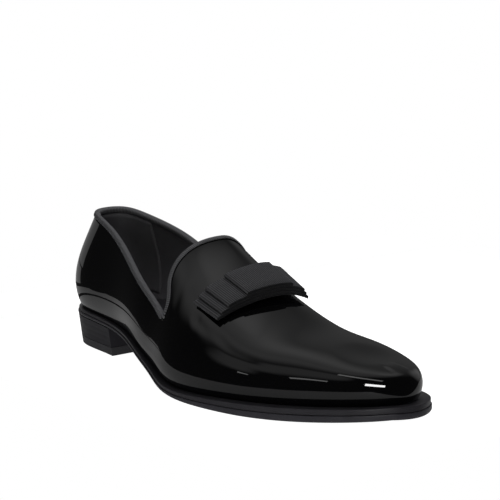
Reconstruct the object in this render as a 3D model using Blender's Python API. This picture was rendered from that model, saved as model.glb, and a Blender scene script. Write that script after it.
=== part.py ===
"""A formal slip-on shoe for the right foot: patent upper, low stacked heel and flat ribbon bow.

Sizes are in millimetres. x runs from the heel to the toe, y from the outer side of the foot to
the inner side, and z up from the floor. The meshes are scaled to metres as they are made.
"""
import bmesh
import bpy
import numpy as np

MM = 0.001

# Driving sizes
LENGTH = 302.0
HEEL_RADIUS = 32.5
TOE_RADIUS = 13.5
WALL = 2.0
GAP = 0.3
NOTCH_X = 141.0
HEEL_BREAST_X = 58.0
TOP_LIFT_HEIGHT = 5.5

# Ribs of the last. near and far are the feather line's half-widths on the outer and inner side,
# axis is the ridge line's y, swell is how far the side bulges past the feather line and swell_z
# how high. shoulder and crown are shares of the half-width at shoulder_z of the height and on top.
LAST_COLUMNS = ("x", "axis", "near", "far", "swell", "swell_z", "shoulder", "shoulder_z", "crown")
LAST_ROWS = (
    (0, 0, 0, 0, 3.6, 24, .34, .62, .16),
    (35, 0, 27.2, 27.2, 4.0, 24, .38, .62, .20),
    (70, 0.5, 31, 30.5, 4.2, 23, .58, .64, .28),
    (110, 3.5, 41, 27.7, 5.2, 20, .72, .72, .38),
    (130, 8.5, 45.5, 32.2, 5.4, 18, .775, .76, .45),
    (150, 8, 51.5, 33.8, 5.2, 16, .82, .78, .47),
    (185, 4.5, 53, 36, 4.0, 14, .84, .82, .49),
    (215, 3.5, 46, 38.5, 3.2, 12, .87, .84, .52),
    (245, 4, 33.5, 37.5, 3.0, 11, .89, .86, .55),
    (273, 4, 22.8, 30.5, 3.0, 11, .90, .88, .56),
    (302, 4, 0, 0, 3.0, 11, .90, .88, .56),
)
LAST = {name: np.array([row[i] for row in LAST_ROWS], float) for i, name in enumerate(LAST_COLUMNS)}

# Side profiles, each as x and a height or width at that x
RIDGE_Z = {"x": (0, 70, 110, 130, 150, 185, 215, 245, 266),
           "z": (141, 131, 98, 81.8, 70.5, 54.6, 43.5, 40, 37.1)}
UNDERSIDE_Z = {"x": (-8, 20, 60, 85, 112, 135, 155, 185, 215, 245, 275, 304),
               "z": (20.8, 20.3, 18.8, 16.4, 10.2, 4.2, 1.1, 0, 0, 1.2, 5.0, 9.5)}
EDGE_HEIGHT = {"x": (-8, 50, 100, 150, 185, 215, 304), "height": (4.8, 4.4, 3.8, 4.1, 6.1, 7.5, 7.4)}
SOLE_MARGIN = {"x": (-8, 60, 100, 150, 200, 270, 304), "width": (2.7, 2.7, 3.7, 5.6, 6.1, 7.9, 7.5)}
TOPLINE_Z = {"x": (-8, 6, 20, 45, 67, 85, 102, 120, 141),
             "z": (90, 89.5, 87.5, 81.8, 74.2, 66.7, 59.4, 51.8, 43)}
THROAT_X = {"z": (43, 53, 61, 73, 86), "x": (141, 139, 132, 127, 126)}

# Forward lean of the rib's six control points at the back of the heel and at the tip of the toe
HEEL_LEAN = (2.0, -4.0, -2.5, 19.5, 26.0, 26.0)
HEEL_LEAN_END = 85.0
TOE_LEAN = (0.0, 1.5, 2.0, -9.0, -20.0, -35.0)
TOE_LEAN_START = 190.0
TOE_LEAN_END = LENGTH - 2.0
RIB_KNOTS = (0, 0, 0, 0, 1, 2, 3, 3, 3, 3)
# The rib's second and third control points: reach as a share of the swell, heights as shares of swell_z
SWELL_REACH = 1.2
SWELL_FOOT = 0.4
SWELL_HEAD = 1.4
END_ROUNDING = 12.0
HALVINGS = 40

# Mesh counts
QUARTER_COLUMNS = 18
VAMP_COLUMNS = 24
LOW_ROWS = 7
HIGH_ROWS = 8
SOLE_STATIONS = 44
HEEL_STATIONS = 14

# Topline binding: a strip folded over the edge
BINDING_WIDTH = 3.4
BINDING_THICKNESS = 0.7
BINDING_CLEARANCE = 0.4
BINDING_ROUND = 0.42
NOTCH_ROUNDING = 5
NOTCH_SHARE = 0.35

# Sole pieces, as offsets from the feather line
WELT_SHARE = 0.42
WELT_SET_BACK = 0.4
WELT_INNER = -5.0
OUTSOLE_PROUD = 0.3
OUTSOLE_BEVEL = 1.0
INSOLE_INSET = -2.6
INSOLE_HEIGHT = 2.6
HEEL_TAPER = 2.6
HEEL_TAPER_SHARE = 0.7

# Ribbon bow: y of the two ends of each loop, from the longest loop up
BOW_COLUMNS = ("near", "far")
BOW_ROWS = ((-41, 28), (-37.5, 26.5), (-32.5, 25), (-18, 16))
BOW_X = 175.0
BOW_HALF_WIDTH = 11.5
BOW_PEAK_Y = 8.0
BOW_NEAR_RADIUS = 120.0
BOW_FAR_RADIUS = 46.0
BOW_SLOPE = 0.372
BOW_TWIST = 0.0025
RIBBON = 0.6
LOOP_SPACE = 0.4
BOW_STATIONS = 14
LOOP_END_STATIONS = 4
SEAT_COLUMNS = 13
SEAT_ROWS = 41

# Colour and roughness of each piece
SHARP_ANGLE = 35.0
FINISHES = {
    "upper": ((.006, .006, .007), .08),
    "topline_binding": ((.05, .05, .055), .55),
    "outsole": ((.09, .085, .095), .5),
    "welt": ((.07, .065, .075), .45),
    "insole": ((.03, .03, .032), .7),
    "heel_block": ((.12, .11, .13), .4),
    "heel_top_lift": ((.08, .075, .09), .6),
    "bow_loop": ((.035, .035, .038), .75),
}


def spline(xs, ys, x, level_ends=False):
    """Read a cubic spline through the rows, with curvature that runs on smoothly."""
    xs, ys = np.asarray(xs, float), np.asarray(ys, float)
    count = len(xs)
    step = np.diff(xs)
    slope = np.diff(ys) / step
    matrix, right = np.zeros((count, count)), np.zeros(count)
    for i in range(1, count - 1):
        matrix[i, i - 1:i + 2] = step[i - 1], 2 * (step[i - 1] + step[i]), step[i]
        right[i] = 6 * (slope[i] - slope[i - 1])
    if level_ends:
        matrix[0, :2] = 2 * step[0], step[0]
        matrix[-1, -2:] = step[-1], 2 * step[-1]
        right[0], right[-1] = 6 * slope[0], -6 * slope[-1]
    else:
        matrix[0, 0] = matrix[-1, -1] = 1
    bend = np.linalg.solve(matrix, right)
    x = np.clip(np.asarray(x, float), xs[0], xs[-1])
    i = np.clip(np.searchsorted(xs, x) - 1, 0, count - 2)
    t = x - xs[i]
    linear = slope[i] - step[i] * (2 * bend[i] + bend[i + 1]) / 6
    cubic = (bend[i + 1] - bend[i]) / (6 * step[i])
    return ys[i] + t * (linear + t * (bend[i] / 2 + t * cubic))


def read(table, x):
    """Read a two-column table at x."""
    first, second = table.values()
    return spline(first, second, x)


def column(name, x):
    """Read a column of the last's table at x."""
    return spline(LAST["x"], LAST[name], x)


def underside(x):
    """Height of the outsole's underside, flat on the floor under the ball of the foot."""
    return np.maximum(read(UNDERSIDE_Z, x), 0)


def feather_z(x):
    """Height of the line where the upper meets the welt."""
    return underside(x) + read(EDGE_HEIGHT, x)


def rib_of(x):
    """Share of the way from heel to toe, spaced so that both ends come out round."""
    return np.arccos(np.clip(1 - 2 * np.asarray(x, float) / LENGTH, -1, 1)) / np.pi


def x_of(rib):
    return LENGTH * (1 - np.cos(np.pi * np.asarray(rib, float))) / 2


def half_width(rib, side):
    """Half-width of the feather line from the ridge's axis, on the outer (-1) or inner (+1) side."""
    width = LAST["near"] if side < 0 else LAST["far"]
    ribs = rib_of(LAST["x"])
    fullness = np.empty_like(width)
    fullness[1:-1] = (width - side * LAST["axis"])[1:-1] / np.sin(np.pi * ribs[1:-1])
    fullness[0] = np.sqrt(HEEL_RADIUS * LENGTH / 2)
    fullness[-1] = np.sqrt(TOE_RADIUS * LENGTH / 2)
    return spline(ribs, fullness, rib, level_ends=True) * np.sin(np.pi * rib)


def rib_weight(index, degree, u):
    """Weight of a control point at u along a rib, as in a cubic B-spline."""
    if degree == 0:
        closed = RIB_KNOTS[index] < RIB_KNOTS[index + 1] == RIB_KNOTS[-1]
        inside = (u >= RIB_KNOTS[index]) & (u < RIB_KNOTS[index + 1])
        return (inside | (closed & (u == RIB_KNOTS[-1]))).astype(float)
    weight = np.zeros_like(u)
    before = RIB_KNOTS[index + degree] - RIB_KNOTS[index]
    after = RIB_KNOTS[index + degree + 1] - RIB_KNOTS[index + 1]
    if before:
        weight += (u - RIB_KNOTS[index]) / before * rib_weight(index, degree - 1, u)
    if after:
        weight += (RIB_KNOTS[index + degree + 1] - u) / after * rib_weight(index + 1, degree - 1, u)
    return weight


def last_point(rib, up, side):
    """Point on the upper's outer face: rib from heel 0 to toe 1, up from feather line 0 to ridge 1."""
    rib, up, side = np.broadcast_arrays(np.asarray(rib, float), np.asarray(up, float), side)
    x = x_of(rib)
    width = np.where(side < 0, half_width(rib, -1), half_width(rib, 1))
    swell = column("swell", x) * np.tanh(width / END_ROUNDING)
    full = width + swell
    heel = np.clip(1 - x / HEEL_LEAN_END, 0, 1) ** 3
    toe = np.clip((x - TOE_LEAN_START) / (TOE_LEAN_END - TOE_LEAN_START), 0, 1) ** 3
    lean = [x + back * heel + front * toe for back, front in zip(HEEL_LEAN, TOE_LEAN)]
    foot = feather_z(x)
    ridge = read(RIDGE_Z, lean[5])
    fall = read(RIDGE_Z, lean[5] + 0.5) - read(RIDGE_Z, lean[5] - 0.5)
    height = ridge - foot
    swell_z = column("swell_z", x)
    across = (width, width + SWELL_REACH * swell, full, full * column("shoulder", x),
              full * column("crown", x), 0 * x)
    level = (0 * x, SWELL_FOOT * swell_z, SWELL_HEAD * swell_z, height * column("shoulder_z", x),
             height + fall * (lean[4] - lean[5]), height)
    point = np.zeros(x.shape + (3,))
    for i in range(6):
        weight = rib_weight(i, 3, 3 * up)
        point[..., 0] += weight * lean[i]
        point[..., 1] += weight * side * across[i]
        point[..., 2] += weight * (foot + level[i])
    point[..., 1] += column("axis", x)
    return point


def unit(vector):
    return vector / np.linalg.norm(vector, axis=-1, keepdims=True)


def last_normal(rib, up, side):
    """The way out from the last's face."""
    nudge = 0.001
    after, before = np.minimum(rib + nudge, 1), np.maximum(rib - nudge, 0)
    above, below = np.minimum(up + nudge, 1), np.maximum(up - nudge, 0)
    ribwise = last_point(after, up, side) - last_point(before, up, side)
    upwise = last_point(rib, above, side) - last_point(rib, below, side)
    return unit(np.cross(ribwise, upwise)) * -np.asarray(side)[..., None]


def topline_up(rib):
    """How far up each rib the collar's edge lies, found by halving."""
    low, high = np.zeros_like(rib), np.ones_like(rib)
    for _ in range(HALVINGS):
        middle = (low + high) / 2
        point = last_point(rib, middle, -1)
        above = point[..., 2] > read(TOPLINE_Z, point[..., 0])
        low, high = np.where(above, low, middle), np.where(above, middle, high)
    return (low + high) / 2


def throat_rib(up):
    """The rib on which the throat's edge crosses each height of the vamp."""
    x = np.full_like(up, NOTCH_X)
    for _ in range(HALVINGS):
        x = (x + read(THROAT_X, last_point(rib_of(x), up, -1)[..., 2])) / 2
    return rib_of(x)


NOTCH_RIB = float(rib_of(NOTCH_X))
NOTCH_UP = float(topline_up(np.array([NOTCH_RIB]))[0])


def quarter_point(u, w):
    """Quarters: u from the inner notch -1 round the heel to the outer notch 1, w from foot to topline."""
    rib = NOTCH_RIB * np.abs(u)
    return last_point(rib, topline_up(rib) * (w + 1) / 2, np.where(u > 0, -1, 1))


def vamp_point(u, w):
    """Vamp: u from the throat -1 to the toe 1, w from the outer foot -1 over the ridge to the inner."""
    split = LOW_ROWS / (LOW_ROWS + HIGH_ROWS)
    share = 1 - np.abs(w)
    high = np.clip((share - split) / (1 - split), 0, 1)
    up = np.where(share <= split, NOTCH_UP * share / split, NOTCH_UP + (1 - NOTCH_UP) * high)
    first = np.where(share <= split + 1e-6, NOTCH_RIB, throat_rib(np.maximum(up, NOTCH_UP)))
    return last_point(first + (1 - first) * (u + 1) / 2, up, np.where(w < 0, -1, 1))


def patch(mesh, columns, rows, place):
    """Add a grid whose points, from -1 to 1 both ways, are put where place says."""
    points = bmesh.ops.create_grid(mesh, x_segments=columns, y_segments=rows, size=1.0)["verts"]
    u = np.array([round(point.co.x, 5) for point in points])
    w = np.array([round(point.co.y, 5) for point in points])
    for point, spot in zip(points, place(u, w)):
        point.co = spot * MM


def weld(mesh):
    """Close the seams between patches."""
    bmesh.ops.remove_doubles(mesh, verts=mesh.verts, dist=0.01 * MM)


def finish(name, mesh, look, parent):
    """Turn a mesh into a named object with its own material, under the shoe's empty."""
    colour, roughness = FINISHES[look]
    data = bpy.data.meshes.new(name)
    mesh.to_mesh(data)
    mesh.free()
    data.shade_smooth()
    data.set_sharp_from_angle(angle=np.radians(SHARP_ANGLE))
    material = bpy.data.materials.new(name)
    material.use_nodes = True
    shader = material.node_tree.nodes["Principled BSDF"]
    shader.inputs["Base Color"].default_value = (*colour, 1)
    shader.inputs["Roughness"].default_value = roughness
    data.materials.append(material)
    piece = bpy.data.objects.new(name, data)
    bpy.context.scene.collection.objects.link(piece)
    piece.parent = parent
    return piece


def make_upper(parent):
    mesh = bmesh.new()
    patch(mesh, 2 * QUARTER_COLUMNS, LOW_ROWS, quarter_point)
    patch(mesh, VAMP_COLUMNS, 2 * (LOW_ROWS + HIGH_ROWS), vamp_point)
    weld(mesh)
    # The ridge and the toe's middle line end in one corner, whose two faces become one
    corner = last_point(1, 1, 1) * MM
    nearest = min(mesh.verts, key=lambda point: np.linalg.norm(np.array(point.co) - corner))
    bmesh.ops.dissolve_verts(mesh, verts=[nearest])
    piece = finish("upper", mesh, "upper", parent)
    wall = piece.modifiers.new("wall", "SOLIDIFY")
    wall.thickness = WALL * MM
    wall.offset = -1
    wall.use_even_offset = True


def binding_path():
    """Stations of the collar's edge from the ridge down to the notch and back to the heel: rib, up."""
    throat_up = np.linspace(1, NOTCH_UP, HIGH_ROWS + 1)[:-1]
    topline_rib = np.linspace(NOTCH_RIB, 0, QUARTER_COLUMNS + 1)[1:]
    before_up = NOTCH_UP + (throat_up[-1] - NOTCH_UP) * 2 * NOTCH_SHARE
    before = np.array([throat_rib(np.array([before_up]))[0], before_up])
    after_rib = NOTCH_RIB + (topline_rib[0] - NOTCH_RIB) * NOTCH_SHARE
    after = np.array([after_rib, topline_up(np.array([after_rib]))[0]])
    t = np.linspace(0, 1, NOTCH_ROUNDING)[:, None]
    notch = np.array([NOTCH_RIB, NOTCH_UP])
    bend = (1 - t) ** 2 * before + 2 * t * (1 - t) * notch + t ** 2 * after
    throat = np.stack([throat_rib(throat_up), throat_up], 1)
    topline = np.stack([topline_rib, topline_up(topline_rib)], 1)
    return np.concatenate([throat, bend, topline])


def make_binding(parent):
    half = binding_path()
    stations = np.concatenate([half, half[-2:0:-1]])
    sides = np.concatenate([np.full(len(half), -1), np.full(len(half) - 2, 1)])
    edge = last_point(stations[:, 0], stations[:, 1], sides)
    along = np.roll(edge, -1, 0) - np.roll(edge, 1, 0)
    out = last_normal(*stations.T, sides)
    past = unit(np.cross(out, along))
    past *= np.sign(past[len(half) - 1, 2])
    # The strip's section: out from the outer face, and past the edge
    clear = BINDING_CLEARANCE
    skin = clear + BINDING_THICKNESS
    low = skin - BINDING_WIDTH
    section = np.array([
        (clear, low), (skin, low), (skin, skin - BINDING_ROUND), (skin - BINDING_ROUND, skin),
        (BINDING_ROUND - WALL - skin, skin), (-WALL - skin, skin - BINDING_ROUND), (-WALL - skin, low),
        (-WALL - clear, low), (-WALL - clear, clear), (clear, clear)])

    def place(u, w):
        station = np.rint((u + 1) / 2 * len(edge)).astype(int) % len(edge)
        corner = np.rint((w + 1) / 2 * len(section)).astype(int) % len(section)
        return edge[station] + section[corner, :1] * out[station] + section[corner, 1:] * past[station]

    mesh = bmesh.new()
    patch(mesh, len(edge), len(section), place)
    weld(mesh)
    bmesh.ops.recalc_face_normals(mesh, faces=mesh.faces)
    finish("topline_binding", mesh, "topline_binding", parent)


def sole_edge(rib, side, offset):
    """Plan of the feather line moved outward by offset."""
    nudge = 0.0005
    here = last_point(rib, 0, side)
    after, before = np.minimum(rib + nudge, 1), np.maximum(rib - nudge, 0)
    along = last_point(after, 0, side) - last_point(before, 0, side)
    square = np.stack([-along[..., 1], along[..., 0]], -1) * np.asarray(side)[..., None]
    ends = np.stack([np.where(rib < .5, -1.0, 1.0), 0 * rib], -1)
    square = np.where((np.minimum(rib, 1 - rib) < 1e-6)[..., None], ends, square)
    return here[..., :2] + unit(square) * np.asarray(offset)[..., None]


def ring_point(share, last_rib, level):
    """Point on a level of a slab: share runs from the outer end of the outline round the heel."""
    offset, height = level
    rib = last_rib * np.abs(share)
    plan = sole_edge(rib, np.where(share < 0, -1, 1), offset(x_of(rib)))
    return np.concatenate([plan, height(plan[..., 0])[..., None]], -1)


def blend_levels(levels, row, point):
    """Pick each point's own level out of all of them."""
    index = np.rint(row).astype(int)
    every = np.stack([point(level) for level in levels])
    return every[index, np.arange(len(index))]


def make_slab(name, levels, last_rib, stations, parent):
    """A closed slab through outlines at rising levels, up to the toe or to a straight end face."""
    mesh = bmesh.new()
    rows = len(levels) - 1

    def side_wall(u, w):
        return blend_levels(levels, (w + 1) / 2 * rows, lambda level: ring_point(u, last_rib, level))

    def cap(level):
        def place(u, w):
            share = (u + 1) / 2
            return ring_point(np.where(w < 0, -share, share), last_rib, level)
        return place

    def end_face(u, w):
        ends = np.sign(u)
        return blend_levels(levels, (w + 1) / 2 * rows, lambda level: ring_point(ends, last_rib, level))

    patch(mesh, 2 * stations, rows, side_wall)
    patch(mesh, stations, 1, cap(levels[0]))
    patch(mesh, stations, 1, cap(levels[-1]))
    if last_rib < 1:
        patch(mesh, 1, rows, end_face)
    weld(mesh)
    bmesh.ops.recalc_face_normals(mesh, faces=mesh.faces)
    finish(name, mesh, name, parent)


def moved(function, amount):
    """The same function of x, moved by a fixed amount."""
    return lambda x: function(x) + amount


def fixed(amount):
    return lambda x: np.full_like(x, amount)


def margin(x):
    return read(SOLE_MARGIN, x)


def welt_foot(x):
    """Height of the welt's lower face."""
    return feather_z(x) - GAP - WELT_SHARE * read(EDGE_HEIGHT, x)


def make_outsole(parent):
    proud = moved(margin, OUTSOLE_PROUD)
    step = fixed(WELT_INNER - GAP)
    levels = (
        (moved(proud, -OUTSOLE_BEVEL), underside),
        (proud, moved(underside, OUTSOLE_BEVEL)),
        (proud, moved(welt_foot, -GAP)),
        (step, moved(welt_foot, -GAP)),
        (step, moved(feather_z, -GAP)),
    )
    make_slab("outsole", levels, 1, SOLE_STATIONS, parent)


def make_welt(parent):
    outer = moved(margin, -WELT_SET_BACK)
    inner = fixed(WELT_INNER)
    top = moved(feather_z, -GAP)
    section = (
        (outer, welt_foot),
        (outer, moved(top, -WELT_SET_BACK)),
        (moved(outer, -WELT_SET_BACK), top),
        (inner, top),
        (inner, welt_foot),
    )

    def place(u, w):
        corner = np.rint((w + 1) / 2 * len(section)) % len(section)
        return blend_levels(section, corner, lambda level: ring_point(u, 1, level))

    mesh = bmesh.new()
    patch(mesh, 2 * SOLE_STATIONS, len(section), place)
    weld(mesh)
    bmesh.ops.recalc_face_normals(mesh, faces=mesh.faces)
    finish("welt", mesh, "welt", parent)


def make_insole(parent):
    inset = fixed(INSOLE_INSET)
    foot = moved(feather_z, GAP)
    make_slab("insole", ((inset, foot), (inset, moved(foot, INSOLE_HEIGHT))), 1, SOLE_STATIONS, parent)


def make_heel(parent):
    last_rib = float(rib_of(HEEL_BREAST_X))
    lift_edge = moved(margin, -HEEL_TAPER * HEEL_TAPER_SHARE)
    block = ((lift_edge, fixed(TOP_LIFT_HEIGHT + GAP)), (margin, moved(underside, -GAP)))
    make_slab("heel_block", block, last_rib, HEEL_STATIONS, parent)
    lift = ((moved(margin, -HEEL_TAPER), fixed(0.0)), (lift_edge, fixed(TOP_LIFT_HEIGHT)))
    make_slab("heel_top_lift", lift, last_rib, HEEL_STATIONS, parent)


def vamp_z(x, y):
    """Height of the vamp's outer face over a point of the plan, found by halving."""
    rib = rib_of(x)
    axis = column("axis", x)
    side = np.where(y < axis, -1, 1)
    low, high = np.full_like(x, 0.5), np.ones_like(x)
    for _ in range(HALVINGS):
        middle = (low + high) / 2
        wider = np.abs(last_point(rib, middle, side)[..., 1] - axis) > np.abs(y - axis)
        low, high = np.where(wider, middle, low), np.where(wider, high, middle)
    return last_point(rib, high, side)[..., 2]


def bow_form(x, y):
    """Height of the bow's underside from its peak: arched across the foot, falling to the toe."""
    radius = np.where(y < BOW_PEAK_Y, BOW_NEAR_RADIUS, BOW_FAR_RADIUS)
    slope = BOW_SLOPE + BOW_TWIST * y
    return -(y - BOW_PEAK_Y) ** 2 / (2 * radius) - slope * (x - BOW_X)


def bow_seat():
    """Height of the bow's peak that leaves the gap to the vamp where the two come closest."""
    reach = np.linspace(-BOW_HALF_WIDTH, BOW_HALF_WIDTH, SEAT_COLUMNS)
    x, y = np.meshgrid(BOW_X + reach, np.linspace(*BOW_ROWS[0], SEAT_ROWS))
    return float(np.max(vamp_z(x, y) - bow_form(x, y))) + GAP


def make_bow(parent):
    seat = bow_seat()
    bend = (RIBBON + LOOP_SPACE) / 2
    for layer, row in enumerate(BOW_ROWS):
        loop = dict(zip(BOW_COLUMNS, row))
        middle_height = layer * (2 * RIBBON + LOOP_SPACE + GAP) + RIBBON / 2 + bend
        run = np.linspace(loop["near"], loop["far"], BOW_STATIONS)
        turn = np.linspace(-np.pi / 2, np.pi / 2, LOOP_END_STATIONS + 2)[1:-1]
        # Middle line of the flat loop, as y along the bow, then the ways out in y and z
        far_end, near_end = np.full(len(turn), loop["far"]), np.full(len(turn), loop["near"])
        along = np.concatenate([run, far_end, run[::-1], near_end])
        out_y = np.concatenate([0 * run, np.cos(turn), 0 * run, -np.cos(turn)])
        out_z = np.concatenate([0 * run - 1, np.sin(turn), 0 * run + 1, -np.sin(turn)])
        corners = ((-1, 1), (1, 1), (1, -1), (-1, -1))

        def place(u, w):
            station = np.rint((u + 1) / 2 * len(along)).astype(int) % len(along)
            corner = np.array(corners)[np.rint((w + 1) / 2 * len(corners)).astype(int) % len(corners)]
            x = BOW_X + corner[:, 0] * BOW_HALF_WIDTH
            away = bend + corner[:, 1] * RIBBON / 2
            y = along[station]
            z = seat + bow_form(x, y) + middle_height + out_z[station] * away
            return np.stack([x, y + out_y[station] * away, z], -1)

        mesh = bmesh.new()
        patch(mesh, len(along), len(corners), place)
        weld(mesh)
        bmesh.ops.recalc_face_normals(mesh, faces=mesh.faces)
        finish(f"bow_loop_{layer + 1}", mesh, "bow_loop", parent)


def centre(parent):
    """Put the middle of the shoe's footprint on the origin, with the floor at z = 0."""
    depsgraph = bpy.context.evaluated_depsgraph_get()
    points = []
    for piece in parent.children:
        points += [tuple(vertex.co) for vertex in piece.evaluated_get(depsgraph).data.vertices]
    points = np.array(points)
    middle = (points.min(0) + points.max(0)) / 2
    parent.location = (-middle[0], -middle[1], 0)


def main():
    for item in list(bpy.data.objects):
        bpy.data.objects.remove(item)
    shoe = bpy.data.objects.new("shoe", None)
    bpy.context.scene.collection.objects.link(shoe)
    make_upper(shoe)
    make_binding(shoe)
    make_insole(shoe)
    make_welt(shoe)
    make_outsole(shoe)
    make_heel(shoe)
    make_bow(shoe)
    centre(shoe)


main()
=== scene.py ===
"""Looks of a formal slip-on shoe: black patent upper, corded topline, ribbon bow and low stacked heel.

Shapes are worked out in millimetres in the shoe's own frame: x from the heel to the toe, y from the
outer side of the foot to the inner side, z up from the floor. to_frame() turns them to metres.
"""

import bmesh
import bpy
import numpy as np
from mathutils import Matrix, Quaternion, Vector


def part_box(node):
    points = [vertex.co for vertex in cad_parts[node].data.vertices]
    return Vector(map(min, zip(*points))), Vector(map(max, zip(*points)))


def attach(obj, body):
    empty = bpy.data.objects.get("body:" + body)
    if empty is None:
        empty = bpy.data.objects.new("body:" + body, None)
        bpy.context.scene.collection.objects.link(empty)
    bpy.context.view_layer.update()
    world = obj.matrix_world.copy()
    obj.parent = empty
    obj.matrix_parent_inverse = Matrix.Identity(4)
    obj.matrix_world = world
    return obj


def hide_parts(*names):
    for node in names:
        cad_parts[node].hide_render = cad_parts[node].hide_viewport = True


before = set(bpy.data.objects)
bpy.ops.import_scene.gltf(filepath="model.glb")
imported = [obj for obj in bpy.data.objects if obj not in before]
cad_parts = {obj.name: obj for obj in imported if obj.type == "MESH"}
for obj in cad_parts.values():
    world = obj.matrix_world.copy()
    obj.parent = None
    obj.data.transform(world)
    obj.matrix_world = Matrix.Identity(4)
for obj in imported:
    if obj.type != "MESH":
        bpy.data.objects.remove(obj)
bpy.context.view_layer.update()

MM = 0.001

# Driving sizes of the shoe
LENGTH = 302.0
HEEL_RADIUS = 32.5
TOE_RADIUS = 13.5
WALL = 2.0
GAP = 0.3
NOTCH_X = 141.0
HEEL_BREAST_X = 58.0
TOP_LIFT_HEIGHT = 5.5

# Ribs of the last. near and far are the feather line's half-widths on the outer and inner side,
# axis is the ridge line's y, swell is how far the side bulges past the feather line and swell_z
# how high. shoulder and crown are shares of the half-width at shoulder_z of the height and on top.
LAST_COLUMNS = ("x", "axis", "near", "far", "swell", "swell_z", "shoulder", "shoulder_z", "crown")
LAST_ROWS = (
    (0, 0, 0, 0, 3.6, 24, .34, .62, .16),
    (35, 0, 27.2, 27.2, 4.0, 24, .38, .62, .20),
    (70, 0.5, 31, 30.5, 4.2, 23, .58, .64, .28),
    (110, 3.5, 41, 27.7, 5.2, 20, .72, .72, .38),
    (130, 8.5, 45.5, 32.2, 5.4, 18, .775, .76, .45),
    (150, 8, 51.5, 33.8, 5.2, 16, .82, .78, .47),
    (185, 4.5, 53, 36, 4.0, 14, .84, .82, .49),
    (215, 3.5, 46, 38.5, 3.2, 12, .87, .84, .52),
    (245, 4, 33.5, 37.5, 3.0, 11, .89, .86, .55),
    (273, 4, 22.8, 30.5, 3.0, 11, .90, .88, .56),
    (302, 4, 0, 0, 3.0, 11, .90, .88, .56),
)
LAST = {name: np.array([row[i] for row in LAST_ROWS], float) for i, name in enumerate(LAST_COLUMNS)}

# Side profiles, each as x and a height or width at that x
RIDGE_Z = {"x": (0, 70, 110, 130, 150, 185, 215, 245, 266),
           "z": (141, 131, 98, 81.8, 70.5, 54.6, 43.5, 40, 37.1)}
UNDERSIDE_Z = {"x": (-8, 20, 60, 85, 112, 135, 155, 185, 215, 245, 275, 304),
               "z": (20.8, 20.3, 18.8, 16.4, 10.2, 4.2, 1.1, 0, 0, 1.2, 5.0, 9.5)}
EDGE_HEIGHT = {"x": (-8, 50, 100, 150, 185, 215, 304), "height": (4.8, 4.4, 3.8, 4.1, 6.1, 7.5, 7.4)}
SOLE_MARGIN = {"x": (-8, 60, 100, 150, 200, 270, 304), "width": (2.7, 2.7, 3.7, 5.6, 6.1, 7.9, 7.5)}
TOPLINE_Z = {"x": (-8, 6, 20, 45, 67, 85, 102, 120, 141),
             "z": (90, 89.5, 87.5, 81.8, 74.2, 66.7, 59.4, 51.8, 43)}
THROAT_X = {"z": (43, 53, 61, 73, 86), "x": (141, 139, 132, 127, 126)}

# Forward lean of the rib's six control points at the back of the heel and at the tip of the toe
HEEL_LEAN = (2.0, -4.0, -2.5, 19.5, 26.0, 26.0)
HEEL_LEAN_END = 85.0
TOE_LEAN = (0.0, 1.5, 2.0, -9.0, -20.0, -35.0)
TOE_LEAN_START = 190.0
TOE_LEAN_END = LENGTH - 2.0
RIB_KNOTS = (0, 0, 0, 0, 1, 2, 3, 3, 3, 3)
# The rib's second and third control points: reach as a share of the swell, heights as shares of swell_z
SWELL_REACH = 1.2
SWELL_FOOT = 0.4
SWELL_HEAD = 1.4
# Half-width over which the swell dies away at both ends, and how often a search halves its range
END_ROUNDING = 12.0
HALVINGS = 40

# Creases of the vamp: side -1 is the outer one, lean is from level, sizes in mm
CREASE_COLUMNS = ("side", "x", "z", "lean", "half_length", "half_width", "depth")
CREASE_ROWS = (
    (-1, 147, 55.0, -60, 9, 3.0, .28),
    (-1, 171, 47.5, -50, 5, 2.2, .30),
    (-1, 178, 44.6, -25, 9, 2.0, .24),
    (-1, 196, 39.2, -24, 10, 1.8, .24),
    (-1, 214, 33.2, -12, 15, 1.8, .16),
    (-1, 212, 29.6, -14, 18, 1.9, .12),
    (1, 196, 40.0, -18, 20, 2.8, .25),
    (1, 210, 34.0, -14, 18, 2.8, .22),
)

# The toe's top round the ridge's end, made anew inside the first radius and blended out to the second
TOE_TOP_INNER = 14.0
TOE_TOP_OUTER = 28.0
TOE_TOP_DEGREE = 4

# Mesh counts, and how close points are that are welded
QUARTER_COLUMNS = 56
VAMP_COLUMNS = 120
LOW_ROWS = 22
HIGH_ROWS = 44
SOLE_STATIONS = 110
HEEL_STATIONS = 40
ROUND_STEPS = 4
THROAT_POINTS = 120
NOTCH_POINTS = 24
TOPLINE_POINTS = 240
WELD = 0.01

# Topline binding: a corded strip folded over the edge. Its lower edge is drawn in to a lip, where the
# cords point down, and it starts to turn the notch's corner at the bends, as shares up and along the ribs
BINDING_WIDTH = 2.8
BINDING_THICKNESS = 0.6
BINDING_CLEARANCE = 0.3
BINDING_ROUND = 0.9
BINDING_RIB = 1.3
BINDING_RIB_HEIGHT = 0.18
BINDING_RIB_POINTS = 4
BINDING_LIP = 0.2
BINDING_LIP_RISE = 0.25
BINDING_LIP_CORD = -0.5
NOTCH_BEND_UP = 0.0875
NOTCH_BEND_RIB = 0.0195

# Heel grip: a soft panel sewn inside the back of the quarters, from low to high as shares of the way up
# to the topline, and its stitches
GRIP_X = 34.0
GRIP_LOW = 0.10
GRIP_HIGH = 0.96
GRIP_THICKNESS = 0.5
GRIP_CLEARANCE = 0.05
GRIP_COLUMNS = 48
GRIP_ROWS = 24
STITCH_PITCH = 2.6
STITCH_LENGTH = 1.9
STITCH_WIDTH = 0.45
STITCH_INSET = 1.6
STITCH_LIFT = 0.1
STITCH_SEGMENTS = 8
STITCH_RINGS = 6
SEAM_POINTS = 200

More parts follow.
